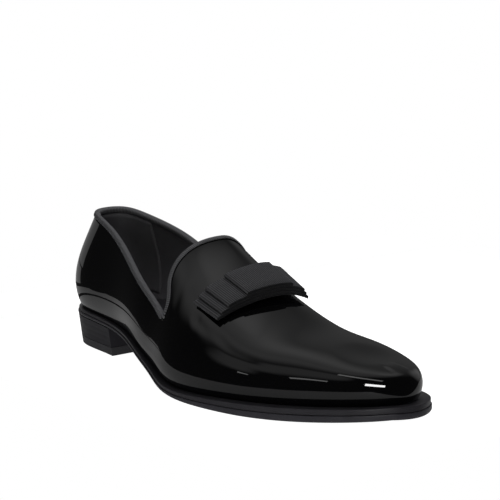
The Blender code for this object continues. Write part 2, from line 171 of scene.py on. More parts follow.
# Sole pieces, as offsets from the feather line
WELT_SHARE = 0.42
WELT_SET_BACK = 0.4
WELT_INNER = -5.0
OUTSOLE_PROUD = 0.3
OUTSOLE_BEVEL = 1.0
OUTSOLE_ROUND = 0.4
INSOLE_INSET = -2.6
INSOLE_HEIGHT = 2.6
INSOLE_ROUND = 1.0
HEEL_TAPER = 2.6
HEEL_TAPER_SHARE = 0.7
HEEL_LIFTS = 4
LIFT_GROOVE = 0.05
LIFT_GROOVE_SHARE = 0.025
TOP_LIFT_BEVEL = 0.3

# Ribbon bow: y of the two ends of each loop, from the longest loop up, then the bow's place and arch, its
# fall towards the toe and how that changes over y, and the ribbon's thickness, inner space and ribs
BOW_COLUMNS = ("near", "far")
BOW_ROWS = ((-41, 28), (-37.5, 26.5), (-32.5, 25), (-18, 16))
BOW_X = 175.0
BOW_HALF_WIDTH = 11.5
BOW_PEAK_Y = 8.0
BOW_NEAR_RADIUS = 120.0
BOW_FAR_RADIUS = 46.0
BOW_SLOPE = 0.372
BOW_TWIST = 0.0025
BOW_SEAT_POINTS = (13, 41)
RIBBON = 0.6
LOOP_SPACE = 0.4
RIBBON_RIB = 1.4
RIBBON_RIB_HEIGHT = 0.2
RIBBON_RIB_POINTS = 6
# Corners of the ribbon's section, as shares of its half-width and half-thickness, with eased edges to its
# face, and the number of the corner where that face ends and the painted shade on the edges and the loop's
# inner face begins
RIBBON_CORNERS = ((-1, .4), (-.985, 1), (-.5, 1), (0, 1), (.5, 1), (.985, 1), (1, .4), (1, -1), (-1, -1))
RIBBON_FACE_END = 5

# Length over which a wave texture of scale 1 repeats, and the warp threads' pitch, which is drawn coarser
# than silk's so that the threads show
WAVE_PERIOD = np.pi / 10
WARP_PITCH = 0.3
# Scale of the sole leather's fibres along the level, which draws them out about eight times
FIBRE_LEVEL = 0.12

# Camera, in the shoe's frame: eye, aim, lens and sensor in mm, and how far it sees in metres
CAMERA_EYE = (993.4, -664.4, 288.6)
CAMERA_AIM = (150.0, 12.2, 79.4)
CAMERA_LENS = 128.16
CAMERA_SENSOR = 36.0
CAMERA_REACH = 50.0

# Lamps round the shoe: degrees from +X, degrees up, degrees of roll, metres away, metres wide and high,
# how bright the face is, where 1 is a white sheet, and whether it is there for the gloss to mirror or
# to light what is matt
LAMP_AIM = (150.0, 0.0, 40.0)
LAMP_COLUMNS = ("name", "azimuth", "elevation", "roll", "distance", "width", "height", "brightness",
                "mirrored")
LAMP_ROWS = (
    ("toe_strip", -51.5, 12.5, -6, 1.59, .88, .26, 24.0, True),
    ("upper_strip", -69, 49, -5, 1.53, 1.20, .24, 2.0, True),
    ("side_strip", -96.5, 9.4, 0, 1.53, .13, .07, 2.0, True),
    ("heel_card", 176.5, 8.5, 0, .29, .19, .07, .34, True),
    ("low_heel_card", 175, -2.5, 0, .29, .18, .036, .34, True),
    ("fill_box", 120, 62, 0, 1.4, 1.00, 1.00, 2.8, False),
    ("front_fill", -25, 44, 0, 1.4, .90, .90, 2.2, False),
)

# Soft light of the room, as broad glows: degrees from +X, degrees up, half-angles of the even middle and
# of the faded edge, and brightness as for the lamps
GLOW_COLUMNS = ("azimuth", "elevation", "middle", "edge", "brightness")
GLOW_ROWS = (
    (178, 64, 8, 42, .38),
    (130, 40, 5, 50, .10),
    (115, 62, 4, 16, .16),
    (-122, 56, 5, 26, .11),
    (-104, 29, 4, 18, .34),
    (95, 18, 8, 28, .32),
)
ROOM_BRIGHTNESS = 0.03

# White sheets that the shoe stands on, as x and y from and to, and the light that they give off, to the
# lens and, dimmer, to the gloss that mirrors them
FLOOR_SHEETS_X = ((-150.0, -92.0), (-76.0, 340.0))
FLOOR_Y = (-112.0, 400.0)
FLOOR_GLOW = 1.0
FLOOR_GLOW_MIRRORED = 0.1


def spline(xs, ys, x, level_ends=False):
    """Read a cubic spline through the rows, with curvature that runs on smoothly."""
    xs, ys = np.asarray(xs, float), np.asarray(ys, float)
    count = len(xs)
    step = np.diff(xs)
    slope = np.diff(ys) / step
    matrix, right = np.zeros((count, count)), np.zeros(count)
    for i in range(1, count - 1):
        matrix[i, i - 1:i + 2] = step[i - 1], 2 * (step[i - 1] + step[i]), step[i]
        right[i] = 6 * (slope[i] - slope[i - 1])
    if level_ends:
        matrix[0, :2] = 2 * step[0], step[0]
        matrix[-1, -2:] = step[-1], 2 * step[-1]
        right[0], right[-1] = 6 * slope[0], -6 * slope[-1]
    else:
        matrix[0, 0] = matrix[-1, -1] = 1
    bend = np.linalg.solve(matrix, right)
    x = np.clip(np.asarray(x, float), xs[0], xs[-1])
    i = np.clip(np.searchsorted(xs, x) - 1, 0, count - 2)
    t = x - xs[i]
    linear_part = slope[i] - step[i] * (2 * bend[i] + bend[i + 1]) / 6
    cubic_part = (bend[i + 1] - bend[i]) / (6 * step[i])
    return ys[i] + t * (linear_part + t * (bend[i] / 2 + t * cubic_part))


def read(table, x):
    """Read a two-column table at x."""
    first, second = table.values()
    return spline(first, second, x)


def column(name, x):
    """Read a column of the last's table at x."""
    return spline(LAST["x"], LAST[name], x)


def underside(x):
    """Height of the outsole's underside, flat on the floor under the ball of the foot."""
    return np.maximum(read(UNDERSIDE_Z, x), 0)


def feather_z(x):
    """Height of the line where the upper meets the welt."""
    return underside(x) + read(EDGE_HEIGHT, x)


def rib_of(x):
    """Share of the way from heel to toe, spaced so that both ends come out round."""
    return np.arccos(np.clip(1 - 2 * np.asarray(x, float) / LENGTH, -1, 1)) / np.pi


def x_of(rib):
    """The place along the last of a share of the way."""
    return LENGTH * (1 - np.cos(np.pi * np.asarray(rib, float))) / 2


def half_width(rib, side):
    """Half-width of the feather line from the ridge's axis, on the outer (-1) or inner (+1) side."""
    width = LAST["near"] if side < 0 else LAST["far"]
    ribs = rib_of(LAST["x"])
    fullness = np.empty_like(width)
    fullness[1:-1] = (width - side * LAST["axis"])[1:-1] / np.sin(np.pi * ribs[1:-1])
    fullness[0] = np.sqrt(HEEL_RADIUS * LENGTH / 2)
    fullness[-1] = np.sqrt(TOE_RADIUS * LENGTH / 2)
    return spline(ribs, fullness, rib, level_ends=True) * np.sin(np.pi * rib)


def rib_weight(index, degree, u):
    """Weight of a control point at u along a rib, as in a cubic B-spline."""
    if degree == 0:
        closed = RIB_KNOTS[index] < RIB_KNOTS[index + 1] == RIB_KNOTS[-1]
        inside = (u >= RIB_KNOTS[index]) & (u < RIB_KNOTS[index + 1])
        return (inside | (closed & (u == RIB_KNOTS[-1]))).astype(float)
    weight = np.zeros_like(u)
    before = RIB_KNOTS[index + degree] - RIB_KNOTS[index]
    after = RIB_KNOTS[index + degree + 1] - RIB_KNOTS[index + 1]
    if before:
        weight += (u - RIB_KNOTS[index]) / before * rib_weight(index, degree - 1, u)
    if after:
        weight += (RIB_KNOTS[index + degree + 1] - u) / after * rib_weight(index + 1, degree - 1, u)
    return weight


def last_point(rib, up, side):
    """Point on the upper's outer face: rib from heel 0 to toe 1, up from feather line 0 to ridge 1."""
    rib, up, side = np.broadcast_arrays(np.asarray(rib, float), np.asarray(up, float), side)
    x = x_of(rib)
    width = np.where(side < 0, half_width(rib, -1), half_width(rib, 1))
    swell = column("swell", x) * np.tanh(width / END_ROUNDING)
    full = width + swell
    heel = np.clip(1 - x / HEEL_LEAN_END, 0, 1) ** 3
    toe = np.clip((x - TOE_LEAN_START) / (TOE_LEAN_END - TOE_LEAN_START), 0, 1) ** 3
    lean = [x + back * heel + front * toe for back, front in zip(HEEL_LEAN, TOE_LEAN)]
    foot = feather_z(x)
    ridge = read(RIDGE_Z, lean[5])
    fall = read(RIDGE_Z, lean[5] + 0.5) - read(RIDGE_Z, lean[5] - 0.5)
    height = ridge - foot
    swell_z = column("swell_z", x)
    across = (width, width + SWELL_REACH * swell, full, full * column("shoulder", x),
              full * column("crown", x), 0 * x)
    level = (0 * x, SWELL_FOOT * swell_z, SWELL_HEAD * swell_z, height * column("shoulder_z", x),
             height + fall * (lean[4] - lean[5]), height)
    point = np.zeros(x.shape + (3,))
    for i in range(6):
        weight = rib_weight(i, 3, 3 * up)
        point[..., 0] += weight * lean[i]
        point[..., 1] += weight * side * across[i]
        point[..., 2] += weight * (foot + level[i])
    point[..., 1] += column("axis", x)
    return point


def unit(vector):
    """The same way, of length 1."""
    return vector / np.linalg.norm(vector, axis=-1, keepdims=True)


def last_normal(rib, up, side):
    """The way out from the last's face."""
    nudge = 0.001
    after, before = np.minimum(rib + nudge, 1), np.maximum(rib - nudge, 0)
    above, below = np.minimum(up + nudge, 1), np.maximum(up - nudge, 0)
    ribwise = last_point(after, up, side) - last_point(before, up, side)
    upwise = last_point(rib, above, side) - last_point(rib, below, side)
    return unit(np.cross(ribwise, upwise)) * -np.asarray(side)[..., None]


def crease_depth(point, side):
    """How far the leather sinks at a point: each crease is a trough between two low ridges."""
    depth = np.zeros(point.shape[:-1])
    for row in CREASE_ROWS:
        crease = dict(zip(CREASE_COLUMNS, row))
        lean = np.radians(crease["lean"])
        x, z = point[..., 0] - crease["x"], point[..., 2] - crease["z"]
        along = (x * np.cos(lean) + z * np.sin(lean)) / crease["half_length"]
        across = (z * np.cos(lean) - x * np.sin(lean)) / crease["half_width"]
        trough = (1 - across ** 2) * np.exp(-across ** 2 / 2 - along ** 2)
        depth += np.where(side == crease["side"], crease["depth"] * trough, 0)
    return depth


def skin_point(rib, up, side, inset=0.0):
    """Point on the upper's face with its creases, or inside it by inset."""
    rib, up, side = np.broadcast_arrays(np.asarray(rib, float), np.asarray(up, float), side)
    point = last_point(rib, up, side)
    sink = crease_depth(point, side) + inset
    return point - sink[..., None] * last_normal(rib, up, side)


def topline_up(rib):
    """How far up each rib the collar's edge lies, found by halving."""
    low, high = np.zeros_like(rib), np.ones_like(rib)
    for _ in range(HALVINGS):
        middle = (low + high) / 2
        point = last_point(rib, middle, -1)
        above = point[..., 2] > read(TOPLINE_Z, point[..., 0])
        low, high = np.where(above, low, middle), np.where(above, middle, high)
    return (low + high) / 2


def throat_rib(up):
    """The rib on which the throat's edge crosses each height of the vamp."""
    x = np.full_like(up, NOTCH_X)
    for _ in range(HALVINGS):
        x = (x + read(THROAT_X, last_point(rib_of(x), up, -1)[..., 2])) / 2
    return rib_of(x)


NOTCH_RIB = float(rib_of(NOTCH_X))
NOTCH_UP = float(topline_up(np.array([NOTCH_RIB]))[0])


def quarter_point(u, w):
    """Quarters: u from the inner notch -1 round the heel to the outer notch 1, w from foot to topline."""
    rib = NOTCH_RIB * np.abs(u)
    return skin_point(rib, topline_up(rib) * (w + 1) / 2, np.where(u > 0, -1, 1))


def vamp_point(u, w):
    """Vamp: u from the throat -1 to the toe 1, w from the outer foot -1 over the ridge to the inner."""
    split = LOW_ROWS / (LOW_ROWS + HIGH_ROWS)
    share = 1 - np.abs(w)
    high = np.clip((share - split) / (1 - split), 0, 1)
    up = np.where(share <= split, NOTCH_UP * share / split, NOTCH_UP + (1 - NOTCH_UP) * high)
    first = np.where(share <= split + 1e-6, NOTCH_RIB, throat_rib(np.maximum(up, NOTCH_UP)))
    return skin_point(first + (1 - first) * (u + 1) / 2, up, np.where(w < 0, -1, 1))


def sole_edge(rib, side, offset):
    """Plan of the feather line moved outward by offset."""
    nudge = 0.0005
    here = last_point(rib, 0, side)
    after, before = np.minimum(rib + nudge, 1), np.maximum(rib - nudge, 0)
    along = last_point(after, 0, side) - last_point(before, 0, side)
    square = np.stack([-along[..., 1], along[..., 0]], -1) * np.asarray(side)[..., None]
    ends = np.stack([np.where(rib < .5, -1.0, 1.0), 0 * rib], -1)
    square = np.where((np.minimum(rib, 1 - rib) < 1e-6)[..., None], ends, square)
    return here[..., :2] + unit(square) * np.asarray(offset)[..., None]


def ring_point(share, last_rib, level):
    """Point on a level of a slab: share runs from the outer end of the outline round the heel."""
    offset, height = level
    rib = last_rib * np.abs(share)
    plan = sole_edge(rib, np.where(share < 0, -1, 1), offset(x_of(rib)))
    return np.concatenate([plan, height(plan[..., 0])[..., None]], -1)


def margin(x):
    """How far the sole stands out from the feather line."""
    return read(SOLE_MARGIN, x)


def welt_foot(x):
    """Height of the welt's lower face."""
    return feather_z(x) - GAP - WELT_SHARE * read(EDGE_HEIGHT, x)


def frame_offset():
    """Where the shoe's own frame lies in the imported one, from the outsole's outline."""
    share = np.linspace(-1, 1, 2 * SOLE_STATIONS + 1)
    outline = ring_point(share, 1, (lambda x: margin(x) + OUTSOLE_PROUD, underside))
    low = np.array(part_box("outsole")[0]) / MM
    return np.array([low[0] - outline[:, 0].min(), low[1] - outline[:, 1].min(), 0])


OFFSET = frame_offset()


def to_frame(point):
    """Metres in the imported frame."""
    return (np.asarray(point, float) + OFFSET) * MM


def patch(mesh, columns, rows, place):
    """Add a grid whose points, from -1 to 1 both ways, are put where place says."""
    mesh.loops.layers.uv.verify()
    grid = bmesh.ops.create_grid(mesh, x_segments=columns, y_segments=rows, size=1.0, calc_uvs=True)
    points = grid["verts"]
    u = np.array([round(point.co.x, 5) for point in points])
    w = np.array([round(point.co.y, 5) for point in points])
    for point, spot in zip(points, to_frame(place(u, w))):
        point.co = spot


def close_seams(mesh):
    """Weld the edges of patches that meet and turn the faces outward."""
    bmesh.ops.remove_doubles(mesh, verts=mesh.verts, dist=WELD * MM)
    bmesh.ops.recalc_face_normals(mesh, faces=mesh.faces)


def add_piece(name, mesh, materials, replaced=(), sharp_angle=35):
    """Turn a mesh into a named piece of the shoe with its finishes."""
    data = bpy.data.meshes.new(name)
    mesh.to_mesh(data)
    mesh.free()
    data.shade_smooth()
    data.set_sharp_from_angle(angle=np.radians(sharp_angle))
    for material in materials:
        data.materials.append(material)
    piece = bpy.data.objects.new(name, data)
    bpy.context.scene.collection.objects.link(piece)
    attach(piece, "root")
    if replaced:
        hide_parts(*replaced)
    return piece


# Finishes


def linear(colour):
    """Linear red, green, blue and alpha of an sRGB hex value."""
    parts = [int(colour[i:i + 2], 16) / 255 for i in (1, 3, 5)]
    return (*[part / 12.92 if part <= 0.04045 else ((part + 0.055) / 1.055) ** 2.4 for part in parts], 1)


def per_metre(size):
    """Texture scale of a pattern whose features are size millimetres across."""
    return 1 / (size * MM)


def add_node(tree, kind, values=None, links=None, **settings):
    """Add a shader node with its settings, its sockets' values and what is linked into it."""
    item = tree.nodes.new(kind)
    for name, value in settings.items():
        setattr(item, name, value)
    for socket, value in (values or {}).items():
        item.inputs[socket].default_value = value
    for socket, source in (links or {}).items():
        tree.links.new(source, item.inputs[socket])
    return item


def new_finish(name, values):
    """A material, its node tree and its shader with the sockets that are the same all over."""
    material = bpy.data.materials.new(name)
    material.use_nodes = True
    shader = material.node_tree.nodes["Principled BSDF"]
    for socket, value in values.items():
        shader.inputs[socket].default_value = value
    return material, material.node_tree, shader


def patent_leather():
    """Calf leather under a film of clear lacquer: black, a mirror with slow waves, and faint grain below."""
    material, tree, shader = new_finish("black_patent_leather", {
        "Base Color": linear("#040405"), "Roughness": .42, "Specular IOR Level": .0, "IOR": 1.5,
        "Coat Weight": 1.0, "Coat Roughness": .02, "Coat IOR": 1.5})
    place = add_node(tree, "ShaderNodeTexCoord").outputs["Object"]
    grain = add_node(tree, "ShaderNodeTexVoronoi", {"Scale": per_metre(1.3)}, {"Vector": place})
    pores = add_node(tree, "ShaderNodeBump", {"Strength": .25, "Distance": .05 * MM},
                     {"Height": grain.outputs["Distance"]})
    waves = add_node(tree, "ShaderNodeTexNoise", {"Scale": per_metre(16), "Detail": 1.0}, {"Vector": place})
    film = add_node(tree, "ShaderNodeBump", {"Strength": .3, "Distance": .05 * MM},
                    {"Height": waves.outputs["Fac"]})
    tree.links.new(pores.outputs["Normal"], shader.inputs["Normal"])
    tree.links.new(film.outputs["Normal"], shader.inputs["Coat Normal"])
    return material


def lining_leather(name, colour, light_colour, roughness, grain_size):
    """Thin drum-dyed lining leather: satin, with a small pebbled grain and cloudy dye."""
    material, tree, shader = new_finish(name, {"Roughness": roughness, "Specular IOR Level": .4, "IOR": 1.48})
    place = add_node(tree, "ShaderNodeTexCoord").outputs["Object"]
    cloud = add_node(tree, "ShaderNodeTexNoise", {"Scale": per_metre(18), "Detail": 3.0}, {"Vector": place})
    dye = add_node(tree, "ShaderNodeMix", {"A": linear(colour), "B": linear(light_colour)},
                   {"Factor": cloud.outputs["Fac"]}, data_type="RGBA")
    grain = add_node(tree, "ShaderNodeTexVoronoi", {"Scale": per_metre(grain_size)}, {"Vector": place})
    bump = add_node(tree, "ShaderNodeBump", {"Strength": .4, "Distance": .12 * MM},
                    {"Height": grain.outputs["Distance"]})
    tree.links.new(dye.outputs["Result"], shader.inputs["Base Color"])
    tree.links.new(bump.outputs["Normal"], shader.inputs["Normal"])
    return material


def ribbed_silk(name, colour, light_colour, length, turn, rib, shade_start=1.0):
    """Ribbed silk ribbon: fine warp threads over cords, dull black, with painted shade in the furrows between
    the cords and a painted highlight on their crests.

    Past the given share of the way round its section, the ribbon's edges and the loop's inner face are
    painted darker, as painted shade.
    """
    material, tree, shader = new_finish(name, {
        "Specular IOR Level": .35, "IOR": 1.5, "Sheen Weight": .15, "Sheen Roughness": .4,
        "Sheen Tint": linear("#c8c8d0")})
    place = add_node(tree, "ShaderNodeTexCoord").outputs["UV"]
    flat = add_node(tree, "ShaderNodeMapping", {"Scale": (length, turn, 1)}, {"Vector": place})
    sized = flat.outputs["Vector"]
    # Bands at the cords' pitch put the dark colour in the furrows as painted shade and the light colour on
    # the crests as painted highlight
    cords = add_node(tree, "ShaderNodeTexWave", {"Scale": WAVE_PERIOD / rib}, {"Vector": sized})
    dye = add_node(tree, "ShaderNodeMix", {"A": linear(colour), "B": linear(light_colour)},
                   {"Factor": cords.outputs["Fac"]}, data_type="RGBA")
    # Past that share round the section, the edges and the loop's inner face take a near-black colour: painted
    # shade
    across = add_node(tree, "ShaderNodeSeparateXYZ", None, {"Vector": place}).outputs["Y"]
    edge_shade_mask = add_node(tree, "ShaderNodeMath", {1: shade_start}, {0: across}, operation="GREATER_THAN")
    tone = add_node(tree, "ShaderNodeMix", {"B": linear("#111113")},
                    {"Factor": edge_shade_mask.outputs[0], "A": dye.outputs["Result"]}, data_type="RGBA")
    slub = add_node(tree, "ShaderNodeTexNoise", {"Scale": .5, "Detail": 3.0}, {"Vector": sized})
    gloss = add_node(tree, "ShaderNodeMapRange", {"To Min": .5, "To Max": .75},
                     {"Value": slub.outputs["Fac"]})
    warp = add_node(tree, "ShaderNodeTexWave", {"Scale": WAVE_PERIOD / WARP_PITCH, "Distortion": .6},
                    {"Vector": sized}, bands_direction="Y")
    bump = add_node(tree, "ShaderNodeBump", {"Strength": .35, "Distance": .06 * MM},
                    {"Height": warp.outputs["Fac"]})
    tree.links.new(tone.outputs["Result"], shader.inputs["Base Color"])
    tree.links.new(gloss.outputs["Result"], shader.inputs["Roughness"])
    tree.links.new(bump.outputs["Normal"], shader.inputs["Normal"])
    return material


def painted_edge(name, colour, light_colour, roughness, fibre):
    """Edge of sole leather, trimmed, inked and waxed: satin, with level fibres and slight rubbing."""
    material, tree, shader = new_finish(name, {"Specular IOR Level": .15, "IOR": 1.5})
    place = add_node(tree, "ShaderNodeTexCoord").outputs["Object"]
    level = add_node(tree, "ShaderNodeMapping", {"Scale": (FIBRE_LEVEL, FIBRE_LEVEL, 1)}, {"Vector": place})
    fibres = add_node(tree, "ShaderNodeTexNoise", {"Scale": per_metre(fibre), "Detail": 4.0},
                      {"Vector": level.outputs["Vector"]})
    rubbing = add_node(tree, "ShaderNodeTexNoise", {"Scale": per_metre(9), "Detail": 4.0}, {"Vector": place})
    ink = add_node(tree, "ShaderNodeMix", {"A": linear(colour), "B": linear(light_colour)},
                   {"Factor": rubbing.outputs["Fac"]}, data_type="RGBA")
    wax = add_node(tree, "ShaderNodeMapRange", {"To Min": roughness - .08, "To Max": roughness + .1},
                   {"Value": rubbing.outputs["Fac"]})
    bump = add_node(tree, "ShaderNodeBump", {"Strength": .3, "Distance": .1 * MM},
                    {"Height": fibres.outputs["Fac"]})
    tree.links.new(ink.outputs["Result"], shader.inputs["Base Color"])
    tree.links.new(wax.outputs["Result"], shader.inputs["Roughness"])
    tree.links.new(bump.outputs["Normal"], shader.inputs["Normal"])
    return material


def moulded_rubber():
    """Moulded rubber of the heel's lowest lift: matt, with a fine sandy skin."""
    material, tree, shader = new_finish("moulded_heel_rubber", {"Specular IOR Level": .4, "IOR": 1.52})
    place = add_node(tree, "ShaderNodeTexCoord").outputs["Object"]
    sand = add_node(tree, "ShaderNodeTexNoise", {"Scale": per_metre(.7), "Detail": 3.0}, {"Vector": place})
    tone = add_node(tree, "ShaderNodeMix", {"A": linear("#1f1f22"), "B": linear("#2e2d31")},
                    {"Factor": sand.outputs["Fac"]}, data_type="RGBA")
    skin = add_node(tree, "ShaderNodeMapRange", {"To Min": .5, "To Max": .68}, {"Value": sand.outputs["Fac"]})
    bump = add_node(tree, "ShaderNodeBump", {"Strength": .3, "Distance": .1 * MM},
                    {"Height": sand.outputs["Fac"]})
    tree.links.new(tone.outputs["Result"], shader.inputs["Base Color"])
    tree.links.new(skin.outputs["Result"], shader.inputs["Roughness"])
    tree.links.new(bump.outputs["Normal"], shader.inputs["Normal"])
    return material


def waxed_thread():
    """Waxed sewing thread: black, with a twist that catches a little light."""
    material, tree, shader = new_finish("waxed_black_thread", {"Roughness": .45, "IOR": 1.5})
    place = add_node(tree, "ShaderNodeTexCoord").outputs["Object"]
    twist = add_node(tree, "ShaderNodeTexNoise", {"Scale": per_metre(.5)}, {"Vector": place})
    tone = add_node(tree, "ShaderNodeMix", {"A": linear("#1a1a1c"), "B": linear("#333336")},
                    {"Factor": twist.outputs["Fac"]}, data_type="RGBA")
    tree.links.new(tone.outputs["Result"], shader.inputs["Base Color"])
    return material


# Pieces


def round_toe_top(mesh, corner):
    """Round off the crest that the ribs leave where the ridge runs out on the toe."""
    points = [point for point in mesh.verts if (point.co - corner).length < TOE_TOP_OUTER * MM]
    x, y, z = np.array([(point.co - corner) / MM for point in points]).T
    reach = np.hypot(x, y)
    powers = [(i, j) for i in range(TOE_TOP_DEGREE + 1) for j in range(TOE_TOP_DEGREE + 1 - i)]
    terms = np.stack([x ** i * y ** j for i, j in powers], 1)
    kept = reach > TOE_TOP_INNER
    shares = np.linalg.lstsq(terms[kept], z[kept], rcond=None)[0]
    blend = np.clip((TOE_TOP_OUTER - reach) / (TOE_TOP_OUTER - TOE_TOP_INNER), 0, 1)
    blend = blend ** 2 * (3 - 2 * blend)
    for point, rise in zip(points, (terms @ shares - z) * blend):
        point.co.z += rise * MM


def make_upper():
    """The hollow upper: quarters and vamp in patent leather outside, lining leather inside."""
    mesh = bmesh.new()
    patch(mesh, 2 * QUARTER_COLUMNS, LOW_ROWS, quarter_point)
    patch(mesh, VAMP_COLUMNS, 2 * (LOW_ROWS + HIGH_ROWS), vamp_point)
    bmesh.ops.remove_doubles(mesh, verts=mesh.verts, dist=WELD * MM)
    # The ridge and the toe's middle line end in one corner, whose two faces become one
    corner = Vector(to_frame(skin_point(1, 1, 1)))
    nearest = min(mesh.verts, key=lambda point: (point.co - corner).length)
    bmesh.ops.dissolve_verts(mesh, verts=[nearest])
    round_toe_top(mesh, corner)
    lining = lining_leather("black_lining_leather", "#515053", "#605f62", .5, .9)
    piece = add_piece("upper_patent", mesh, [patent_leather(), lining], ["upper"],
                      sharp_angle=60)
    wall = piece.modifiers.new("wall", "SOLIDIFY")
    wall.thickness = WALL * MM
    wall.offset = -1
    wall.use_even_offset = True
    wall.material_offset = 1
    wall.material_offset_rim = 1


def make_heel_grip():
    """The soft panel inside the back of the quarters."""
    grip_rib = float(rib_of(GRIP_X))

    def place(u, w):
        rib = grip_rib * np.abs(u)
        share = GRIP_LOW + (GRIP_HIGH - GRIP_LOW) * (w + 1) / 2
        return skin_point(rib, topline_up(rib) * share, np.where(u > 0, -1, 1), WALL + GRIP_CLEARANCE)

    mesh = bmesh.new()
    patch(mesh, GRIP_COLUMNS, GRIP_ROWS, place)
    suede = lining_leather("heel_grip_suede", "#464548", "#565558", .82, .6)
    piece = add_piece("heel_grip", mesh, [suede])
    thickness = piece.modifiers.new("thickness", "SOLIDIFY")
    thickness.thickness = GRIP_THICKNESS * MM
    thickness.offset = -1


def sew(name, spots, along, out):
    """A row of stitches, each a short bead of thread lying along the seam."""
    mesh = bmesh.new()
    for spot, ahead, away in zip(to_frame(spots), unit(along), unit(out)):
        aside = np.cross(away, ahead)
        sizes = np.array([STITCH_LENGTH, STITCH_WIDTH, STITCH_WIDTH]) / 2 * MM
        turn = np.eye(4)
        turn[:3, :3] = np.stack([ahead, aside, away], 1) * sizes
        turn[:3, 3] = spot
        bmesh.ops.create_uvsphere(mesh, u_segments=STITCH_SEGMENTS, v_segments=STITCH_RINGS, radius=1.0,
                                  matrix=Matrix(turn.tolist()))
    add_piece(name, mesh, [waxed_thread()])


def make_grip_stitches():
    """A row of stitches down each front edge of the heel grip."""
    grip_rib = float(rib_of(GRIP_X - STITCH_INSET))
    depth = WALL + GRIP_THICKNESS + STITCH_LIFT
    for name, side in (("outer", -1), ("inner", 1)):
        dense = np.linspace(GRIP_LOW, GRIP_HIGH, SEAM_POINTS)[1:-1]
        up = topline_up(np.full_like(dense, grip_rib)) * dense
        path = skin_point(grip_rib, up, side, depth)
        reach = np.concatenate([[0], np.cumsum(np.linalg.norm(np.diff(path, axis=0), axis=1))])
        places = np.interp(np.arange(STITCH_PITCH, reach[-1], STITCH_PITCH), reach, up)
        spots = skin_point(grip_rib, places, side, depth)
        sides = np.full(len(places), side)
        out = -last_normal(np.full_like(places, grip_rib), places, sides)
        sew(f"grip_stitches_{name}", spots, np.gradient(spots, axis=0), out)


def binding_half(side):
    """The collar's edge on one side, from the ridge by the notch to the heel, in even steps: rib, up."""
    bend_up = NOTCH_UP + (1 - NOTCH_UP) * NOTCH_BEND_UP
    bend_rib = NOTCH_RIB * (1 - NOTCH_BEND_RIB)
    throat_up = np.linspace(1, bend_up, THROAT_POINTS)
    topline_rib = np.linspace(bend_rib, 0, TOPLINE_POINTS)
    before = np.array([throat_rib(np.array([bend_up]))[0], bend_up])
    after = np.array([bend_rib, topline_up(np.array([bend_rib]))[0]])
    t = np.linspace(0, 1, NOTCH_POINTS)[1:-1, None]
    bend = (1 - t) ** 2 * before + 2 * t * (1 - t) * np.array([NOTCH_RIB, NOTCH_UP]) + t ** 2 * after
    throat = np.stack([throat_rib(throat_up), throat_up], 1)
    topline = np.stack([topline_rib, topline_up(topline_rib)], 1)
    path = np.concatenate([throat, bend, topline])
    step = np.linalg.norm(np.diff(skin_point(*path.T, side), axis=0), axis=1)
    reach = np.concatenate([[0], np.cumsum(step)])
    count = BINDING_RIB_POINTS * int(round(reach[-1] / BINDING_RIB))
    even = np.linspace(0, reach[-1], count + 1)
    return np.stack([np.interp(even, reach, path[:, 0]), np.interp(even, reach, path[:, 1])], 1)


def binding_section():
    """The strip's section: out from the outer face, past the edge, and the way its cords rise in both."""
    clear = BINDING_CLEARANCE
    skin = clear + BINDING_THICKNESS
    low = skin - BINDING_WIDTH
    centre_z = skin - BINDING_ROUND
    lip = low + BINDING_LIP_RISE
    rows = [(clear, low, 0, 0), (skin - BINDING_LIP, low, 0, BINDING_LIP_CORD), (skin, lip, 1, 0),
            (skin, low / 2, 1, 0)]
    for turn in np.linspace(0, np.pi / 2, ROUND_STEPS + 1):
        rows.append((centre_z + BINDING_ROUND * np.cos(turn), centre_z + BINDING_ROUND * np.sin(turn),
                     np.cos(turn), np.sin(turn)))
    far_skin = -WALL - skin
    far_centre = far_skin + BINDING_ROUND
    for turn in np.linspace(np.pi / 2, np.pi, ROUND_STEPS + 1):
        rows.append((far_centre + BINDING_ROUND * np.cos(turn), centre_z + BINDING_ROUND * np.sin(turn),
                     np.cos(turn), np.sin(turn)))
    rows += [(far_skin, low / 2, -1, 0), (far_skin, lip, -1, 0),
             (far_skin + BINDING_LIP, low, 0, BINDING_LIP_CORD),
             (-WALL - clear, low, 0, 0), (-WALL - clear, clear, 0, 0), (clear, clear, 0, 0)]
    return np.array(rows)


def make_binding():
    """The corded strip round the collar and the throat, closed in a ring."""
    outer, inner = binding_half(-1), binding_half(1)[-2:0:-1]
    stations = np.concatenate([outer, inner])
    sides = np.concatenate([np.full(len(outer), -1), np.full(len(inner), 1)])
    rib, up = stations.T
    edge = skin_point(rib, up, sides)
    along = np.roll(edge, -1, 0) - np.roll(edge, 1, 0)
    out = last_normal(rib, up, sides)
    past = unit(np.cross(out, along))
    past *= np.sign(past[len(outer) - 1, 2])
    cords = np.abs(np.sin(np.pi * np.arange(len(edge)) / BINDING_RIB_POINTS)) * BINDING_RIB_HEIGHT
    section = binding_section()

    def place(u, w):
        station = np.rint((u + 1) / 2 * len(edge)).astype(int) % len(edge)
        corner = section[np.rint((w + 1) / 2 * len(section)).astype(int) % len(section)]
        shape = corner[:, :2] + corner[:, 2:] * cords[station][:, None]
        return edge[station] + shape[:, :1] * out[station] + shape[:, 1:] * past[station]

    mesh = bmesh.new()
    patch(mesh, len(edge), len(section), place)
    close_seams(mesh)
    length = len(edge) / BINDING_RIB_POINTS * BINDING_RIB
    # The binding's silk colours: the darker is painted shade in the furrows, the lighter a painted highlight
    # on the cords
    silk = ribbed_silk("corded_silk_binding", "#28282a", "#6c6c6f", length, 4 * BINDING_WIDTH, BINDING_RIB)
    add_piece("binding_cord", mesh, [silk], ["topline_binding"], sharp_angle=50)


def blend_levels(levels, row, point):
    """Pick each point's own level out of all of them."""
    index = np.rint(row).astype(int)
    every = np.stack([point(level) for level in levels])
    return every[index, np.arange(len(index))]


